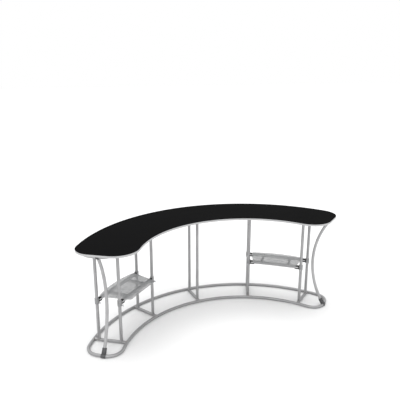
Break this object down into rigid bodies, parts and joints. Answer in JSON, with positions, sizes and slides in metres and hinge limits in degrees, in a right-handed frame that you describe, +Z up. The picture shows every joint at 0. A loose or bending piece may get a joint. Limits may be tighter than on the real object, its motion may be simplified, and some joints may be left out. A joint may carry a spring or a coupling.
{
  "type": "checkout counter",
  "caption": "Free-standing crescent checkout counter: black worktop with a pale edge on an open tube frame, two height-adjustable clamped shelves on the staff side.",
  "frame": {"origin": "on the floor under the middle of the worktop's outline", "axes": "+X along the counter's length, +Y from the staff side to the public side, +Z up"},
  "size_m": [2.7426, 1.1418, 1],
  "materials": {
    "satin_aluminium": "satin anodised round tube",
    "shelf_aluminium": "satin anodised shelf frame",
    "black_laminate": "fine matt black high-pressure laminate on a board core",
    "pale_edging": "light grey edge band, satin",
    "dark_nylon": "moulded dark grey nylon",
    "black_nylon": "moulded black nylon",
    "frosted_sheet": "frosted translucent grey acrylic sheet",
    "bright_steel": "zinc plated steel"
  },
  "bodies": {
    "counter": {"base_crossbar_1": "satin_aluminium", "base_crossbar_2": "satin_aluminium", "base_crossbar_3": "satin_aluminium", "base_crossbar_4": "satin_aluminium", "base_crossbar_5": "satin_aluminium", "base_end_hoop_left": "satin_aluminium", "base_end_hoop_right": "satin_aluminium", "base_rail_inner_left": "satin_aluminium", "base_rail_inner_right": "satin_aluminium", "base_rail_outer_left": "satin_aluminium", "base_rail_outer_right": "satin_aluminium", "brace_foot_clip_left": "dark_nylon", "brace_foot_clip_right": "dark_nylon", "brace_head_clip_left": "dark_nylon", "brace_head_clip_right": "dark_nylon", "end_brace_left": "satin_aluminium", "end_brace_right": "satin_aluminium", "post_inner_1": "satin_aluminium", "post_inner_2": "satin_aluminium", "post_inner_3": "satin_aluminium", "post_inner_4": "satin_aluminium", "post_inner_5": "satin_aluminium", "post_outer_1": "satin_aluminium", "post_outer_2": "satin_aluminium", "post_outer_3": "satin_aluminium", "post_outer_4": "satin_aluminium", "post_outer_5": "satin_aluminium", "top_crossbar_1": "satin_aluminium", "top_crossbar_2": "satin_aluminium", "top_crossbar_3": "satin_aluminium", "top_crossbar_4": "satin_aluminium", "top_crossbar_5": "satin_aluminium", "top_end_hoop_left": "satin_aluminium", "top_end_hoop_right": "satin_aluminium", "top_rail_inner_left": "satin_aluminium", "top_rail_inner_right": "satin_aluminium", "top_rail_outer_left": "satin_aluminium", "top_rail_outer_right": "satin_aluminium", "worktop_board": "black_laminate", "worktop_edging": "pale_edging"},
    "shelf_left": {"shelf_left_clamp_inner_back": "black_nylon", "shelf_left_clamp_inner_front": "black_nylon", "shelf_left_clamp_outer_back": "black_nylon", "shelf_left_clamp_outer_front": "black_nylon", "shelf_left_frame": "shelf_aluminium", "shelf_left_panel": "frosted_sheet"},
    "shelf_right": {"shelf_right_clamp_inner_back": "black_nylon", "shelf_right_clamp_inner_front": "black_nylon", "shelf_right_clamp_outer_back": "black_nylon", "shelf_right_clamp_outer_front": "black_nylon", "shelf_right_frame": "shelf_aluminium", "shelf_right_panel": "frosted_sheet"},
    "screw_left_outer_back": {"shelf_left_screw_outer_back": "bright_steel"},
    "screw_left_outer_front": {"shelf_left_screw_outer_front": "bright_steel"},
    "screw_left_inner_back": {"shelf_left_screw_inner_back": "bright_steel"},
    "screw_left_inner_front": {"shelf_left_screw_inner_front": "bright_steel"},
    "screw_right_outer_back": {"shelf_right_screw_outer_back": "bright_steel"},
    "screw_right_outer_front": {"shelf_right_screw_outer_front": "bright_steel"},
    "screw_right_inner_back": {"shelf_right_screw_inner_back": "bright_steel"},
    "screw_right_inner_front": {"shelf_right_screw_inner_front": "bright_steel"}
  },
  "joints": [
    {"name": "shelf_left_slide", "type": "slide", "parent": "counter", "child": "shelf_left", "axis": [0, 0, 1], "range_m": [-0.35, 0.49]},
    {"name": "shelf_right_slide", "type": "slide", "parent": "counter", "child": "shelf_right", "axis": [0, 0, 1], "range_m": [-0.35, 0.49]},
    {"name": "screw_left_outer_back_turn", "type": "hinge", "parent": "shelf_left", "child": "screw_left_outer_back", "pos_m": [-1.1844, -0.14377, 0.4022], "axis": [0.6508, -0.7593, 0], "range_deg": [0, 360]},
    {"name": "screw_left_outer_front_turn", "type": "hinge", "parent": "shelf_left", "child": "screw_left_outer_front", "pos_m": [-1.00318, -0.27544, 0.4022], "axis": [0.6508, -0.7593, 0], "range_deg": [0, 360]},
    {"name": "screw_left_inner_back_turn", "type": "hinge", "parent": "shelf_left", "child": "screw_left_inner_back", "pos_m": [-0.66919, 0.29781, 0.4022], "axis": [0.6508, -0.7593, 0], "range_deg": [0, 360]},
    {"name": "screw_left_inner_front_turn", "type": "hinge", "parent": "shelf_left", "child": "screw_left_inner_front", "pos_m": [-0.5668, 0.09858, 0.4022], "axis": [0.6508, -0.7593, 0], "range_deg": [0, 360]},
    {"name": "screw_right_outer_back_turn", "type": "hinge", "parent": "shelf_right", "child": "screw_right_outer_back", "pos_m": [1.1844, -0.14377, 0.4022], "axis": [-0.6508, -0.7593, 0], "range_deg": [0, 360]},
    {"name": "screw_right_outer_front_turn", "type": "hinge", "parent": "shelf_right", "child": "screw_right_outer_front", "pos_m": [1.00318, -0.27544, 0.4022], "axis": [-0.6508, -0.7593, 0], "range_deg": [0, 360]},
    {"name": "screw_right_inner_back_turn", "type": "hinge", "parent": "shelf_right", "child": "screw_right_inner_back", "pos_m": [0.66919, 0.29781, 0.4022], "axis": [-0.6508, -0.7593, 0], "range_deg": [0, 360]},
    {"name": "screw_right_inner_front_turn", "type": "hinge", "parent": "shelf_right", "child": "screw_right_inner_front", "pos_m": [0.5668, 0.09858, 0.4022], "axis": [-0.6508, -0.7593, 0], "range_deg": [0, 360]}
  ]
}
